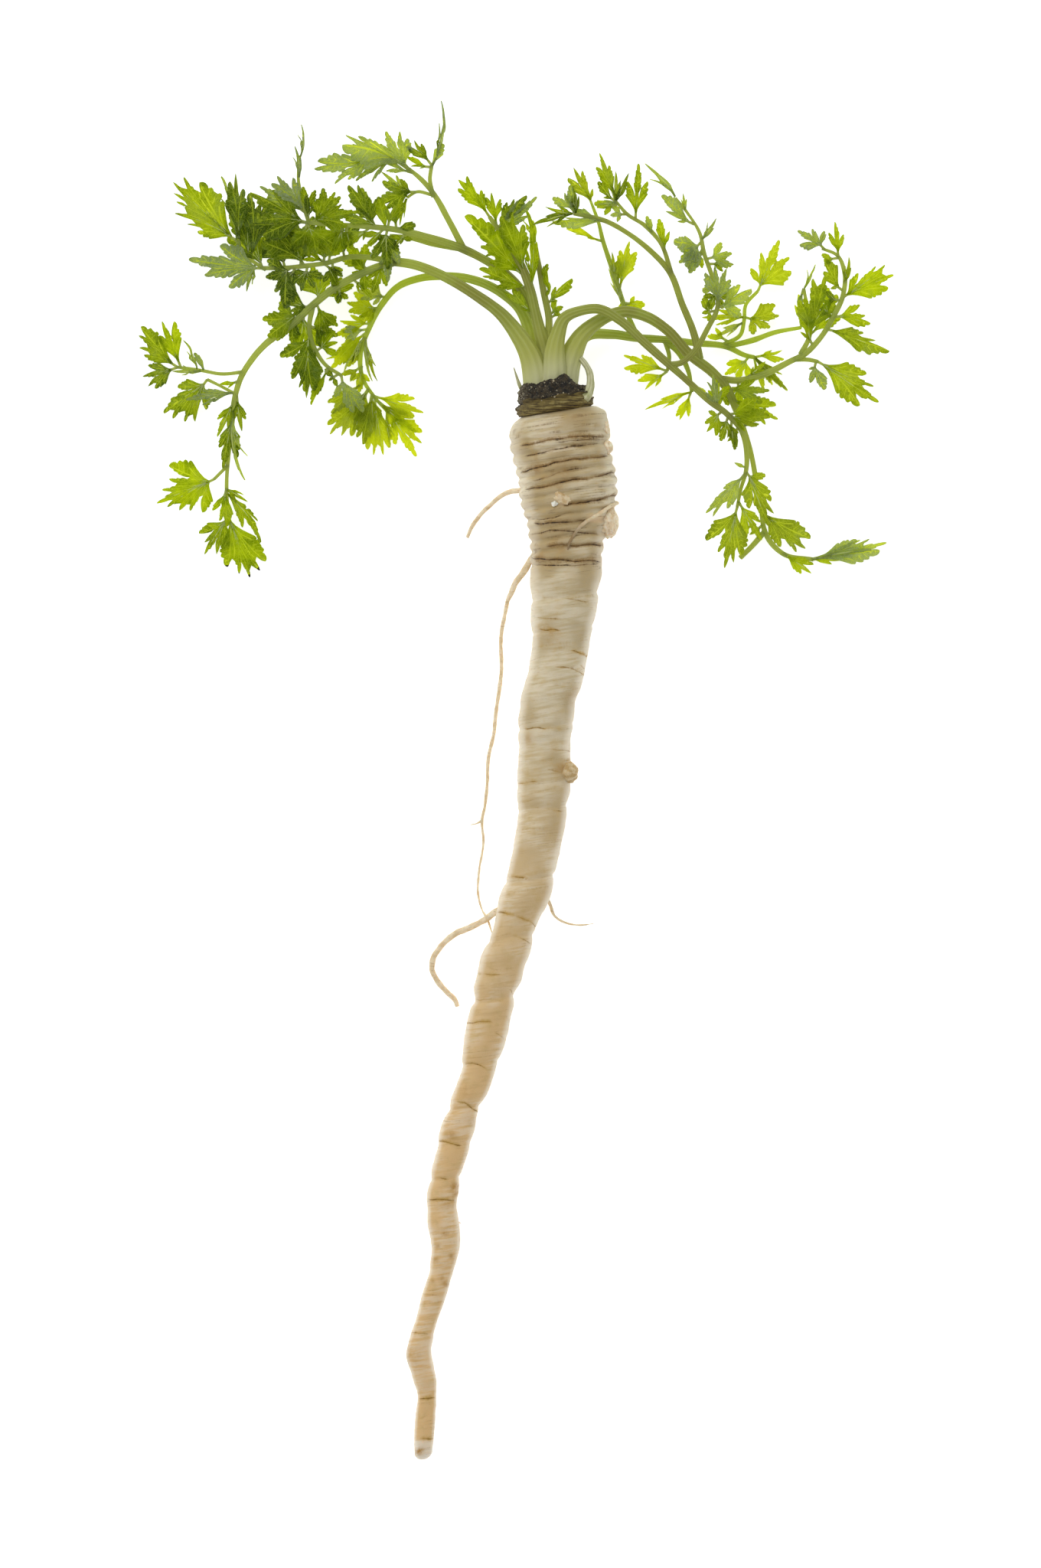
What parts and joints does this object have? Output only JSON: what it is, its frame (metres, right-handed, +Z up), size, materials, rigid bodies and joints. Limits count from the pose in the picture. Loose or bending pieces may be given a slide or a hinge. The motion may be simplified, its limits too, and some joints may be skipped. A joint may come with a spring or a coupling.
{
  "type": "root parsley, a parsnip-like root vegetable with its leaves",
  "caption": "Long pale ringed taproot with rootlets, a dark crown collar and a spread crown of cut, stalked leaves, lying on a surface.",
  "frame": {"origin": "on the surface that the root lies on, in the middle of the flat strip of skin that it rests on", "axes": "+Y along the root from its tip to its leaves, +Z up from the surface, +X to the right seen from above"},
  "size_m": [0.216, 0.3886, 0.0315],
  "materials": {
    "root_skin": "cream root skin, matt, with brown crease lines and pores",
    "crown_bark": "dark crusty earth-stained leaf scars",
    "leaf_green": "fresh green leaf, satin, thin enough to glow",
    "leaf_lit": "yellow-green young leaf, satin, thin enough to glow",
    "withered_fibre": "dry pale fibre"
  },
  "bodies": {
    "root": {"taproot": "root_skin", "crown_collar": "crown_bark", "frond_left_front": "leaf_green", "frond_left_upper": "leaf_green", "frond_left_lower": "leaf_lit", "frond_centre": "leaf_green", "frond_right_front": "leaf_green", "frond_right_middle": "leaf_green", "frond_right_back": "leaf_lit", "withered_stalk": "withered_fibre"}
  },
  "joints": []
}
